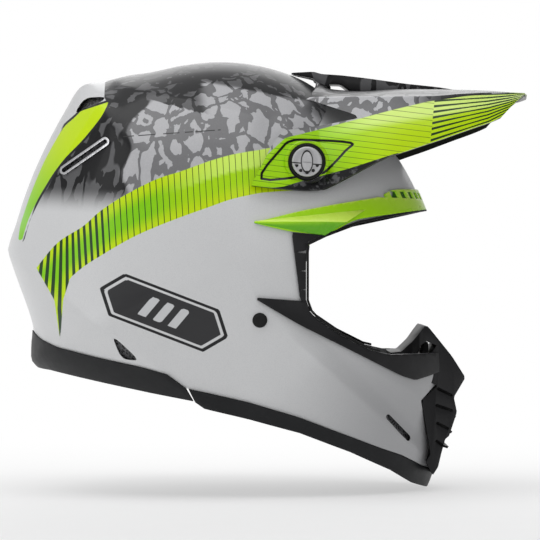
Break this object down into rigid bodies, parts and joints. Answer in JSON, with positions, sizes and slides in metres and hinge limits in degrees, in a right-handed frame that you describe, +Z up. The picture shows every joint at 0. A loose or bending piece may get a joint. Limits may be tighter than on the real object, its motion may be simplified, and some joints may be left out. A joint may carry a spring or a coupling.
{
  "type": "motocross helmet",
  "caption": "Motocross helmet with tilting peak, vented chin bar with shutter, foam and fabric liners and a D-ring chin strap.",
  "frame": {"origin": "centre of the wearer's head, on the helmet's middle plane", "axes": "+X forward, +Y to the wearer's left, +Z up as worn"},
  "size_m": [0.3831, 0.256, 0.3125],
  "materials": {
    "shell_paint": "pearl white gloss with printed camouflage and lime bands",
    "peak_paint": "lime gloss with dark pinstripes",
    "brow_paint": "lime satin",
    "dark_paint": "grey camouflage, gloss",
    "black_plastic": "satin moulded black",
    "black_rubber": "matt black",
    "black_mesh": "woven black screen",
    "bright_metal": "satin silver",
    "dark_metal": "blackened with a bright rim",
    "foam": "moulded bead foam, dark grey",
    "liner_fabric": "brushed knit over foam",
    "tab_fabric": "red woven tape",
    "webbing": "black woven webbing"
  },
  "bodies": {
    "helmet": {"outer_shell": "shell_paint", "shell_rivets": "dark_metal", "peak_insert_nuts": "bright_metal", "peak_washer_right": "black_rubber", "peak_washer_left": "black_rubber", "brow_cover": "brow_paint", "brow_screen": "black_mesh", "eyeport_gasket": "black_rubber", "chin_bar_trim": "black_plastic", "mouthpiece": "black_plastic", "mouth_louvers": "black_plastic", "mouth_screen": "black_mesh", "breath_guard_screen": "black_mesh", "base_trim_front": "black_rubber", "base_trim_rear": "black_rubber", "side_vent_bezels": "bright_metal", "side_vent_screens": "black_mesh", "rear_vent_screens": "black_mesh", "chin_vent_screens": "black_mesh", "exhaust_screens": "black_mesh", "crown_foam_front": "foam", "crown_foam_rear": "foam", "chin_foam": "foam", "crown_liner": "liner_fabric", "neck_roll": "liner_fabric", "cheek_pad_right": "liner_fabric", "cheek_pad_left": "liner_fabric", "cheek_pad_plates": "black_plastic", "pad_pull_tabs": "tab_fabric", "liner_snaps": "bright_metal"},
    "peak": {"peak": "peak_paint", "peak_bridge": "dark_paint", "peak_bush_right": "black_rubber", "peak_bush_left": "black_rubber"},
    "screw_right": {"peak_screw_right": "bright_metal"},
    "screw_left": {"peak_screw_left": "bright_metal"},
    "screw_top": {"peak_screw_top": "bright_metal"},
    "strap": {"chin_strap_right": "webbing", "chin_strap_left": "webbing", "strap_anchor_plates": "bright_metal", "strap_sleeve": "liner_fabric", "strap_keeper": "black_rubber", "strap_snap": "bright_metal"},
    "ring_outer": {"d_ring_outer": "bright_metal"},
    "ring_inner": {"d_ring_inner": "bright_metal"},
    "shutter": {"mouth_shutter": "black_plastic"}
  },
  "joints": [
    {"name": "peak_tilt", "type": "hinge", "parent": "helmet", "child": "peak", "pos_m": [0.054, 0, 0.07], "axis": [0, -1, 0], "range_deg": [-10, 0]},
    {"name": "screw_right_turn", "type": "hinge", "parent": "helmet", "child": "screw_right", "pos_m": [0.054, -0.115, 0.07], "axis": [0, -1, 0], "continuous": true},
    {"name": "screw_left_turn", "type": "hinge", "parent": "helmet", "child": "screw_left", "pos_m": [0.054, 0.115, 0.07], "axis": [0, 1, 0], "continuous": true},
    {"name": "screw_top_turn", "type": "hinge", "parent": "helmet", "child": "screw_top", "pos_m": [0.06534, 0, 0.13705], "axis": [0.1668, 0, 0.986], "continuous": true},
    {"name": "strap_swing", "type": "hinge", "parent": "helmet", "child": "strap", "pos_m": [0.021, 0, -0.041], "axis": [0, 1, 0], "range_deg": [-8, 8]},
    {"name": "ring_outer_swing", "type": "hinge", "parent": "strap", "child": "ring_outer", "pos_m": [0.021, 0.066, -0.1065], "axis": [1, 0, 0], "range_deg": [-2, 2]},
    {"name": "ring_inner_swing", "type": "hinge", "parent": "strap", "child": "ring_inner", "pos_m": [0.021, 0.061, -0.1065], "axis": [1, 0, 0], "range_deg": [-2, 2]},
    {"name": "shutter_slide", "type": "slide", "parent": "helmet", "child": "shutter", "axis": [0, 0, 1], "range_m": [0, 0.0045]}
  ]
}
